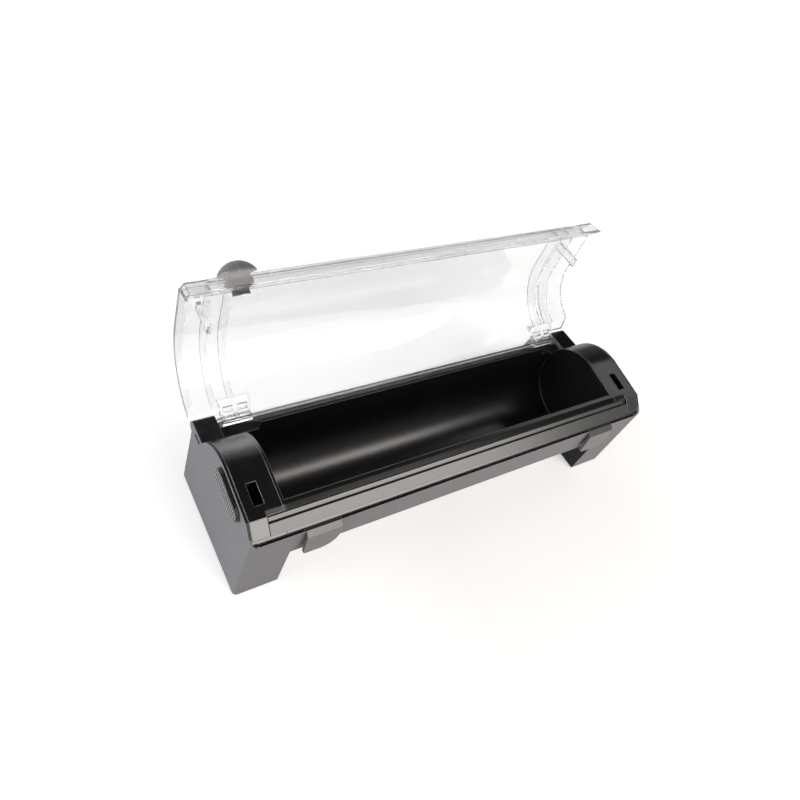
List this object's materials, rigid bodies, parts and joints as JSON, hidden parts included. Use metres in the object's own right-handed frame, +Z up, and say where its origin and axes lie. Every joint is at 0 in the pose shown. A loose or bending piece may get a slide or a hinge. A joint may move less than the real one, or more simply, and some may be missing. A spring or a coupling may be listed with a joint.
{
  "type": "vacuum bag roll dispenser",
  "caption": "Two-legged counter dispenser for film rolls: half-round trough, clear hinged lid carrying a sliding cutter over a front rail, and a release button on each end.",
  "frame": {"origin": "centre of the bounding box on the counter, below the foot pads, with the lid open", "axes": "+X along the casing to the right end seen from the front, +Y to the back, +Z up"},
  "size_m": [0.3664, 0.1578, 0.183],
  "materials": {
    "shell_black": "fine-textured matte",
    "insert_black": "satin",
    "rail_satin": "satin",
    "tab_black": "satin",
    "lid_clear": "clear polished",
    "knob_smoke": "smoky translucent",
    "cutter_black": "satin",
    "button_grey": "diamond knurled",
    "latch_black": "polished",
    "steel": "drawn wire",
    "pad_rubber": "matte"
  },
  "bodies": {
    "base": {"lower_shell": "shell_black", "trough_insert": "insert_black", "end_band_left": "insert_black", "end_band_right": "insert_black", "cutting_rail": "rail_satin", "front_tab_left": "tab_black", "front_tab_right": "tab_black", "hinge_pin_left": "steel", "hinge_pin_right": "steel", "insert_screws": "steel", "foot_pads": "pad_rubber"},
    "lid": {"lid": "lid_clear"},
    "cutter": {"cutter_knob": "knob_smoke", "cutter_carriage": "cutter_black", "blade_holder": "cutter_black", "cutter_blade": "steel", "cutter_screw": "steel"},
    "button_left": {"release_button_left": "button_grey", "latch_plate_left": "latch_black", "button_spring_left": "steel"},
    "button_right": {"release_button_right": "button_grey", "latch_plate_right": "latch_black", "button_spring_right": "steel"}
  },
  "joints": [
    {"name": "lid_hinge", "type": "hinge", "parent": "base", "child": "lid", "pos_m": [0, 0.03062, 0.0674], "axis": [1, 0, 0], "range_deg": [0, 95.5]},
    {"name": "cutter_slide", "type": "slide", "parent": "lid", "child": "cutter", "axis": [1, 0, 0], "range_m": [-0.013, 0.302]},
    {"name": "left_button_press", "type": "slide", "parent": "base", "child": "button_left", "axis": [1, 0, 0], "range_m": [0, 0.0024], "stiffness_N_per_m": 400, "springref_m": -0.004, "deforming": ["button_spring_left"]},
    {"name": "right_button_press", "type": "slide", "parent": "base", "child": "button_right", "axis": [-1, 0, 0], "range_m": [0, 0.0024], "stiffness_N_per_m": 400, "springref_m": -0.004, "deforming": ["button_spring_right"]}
  ]
}
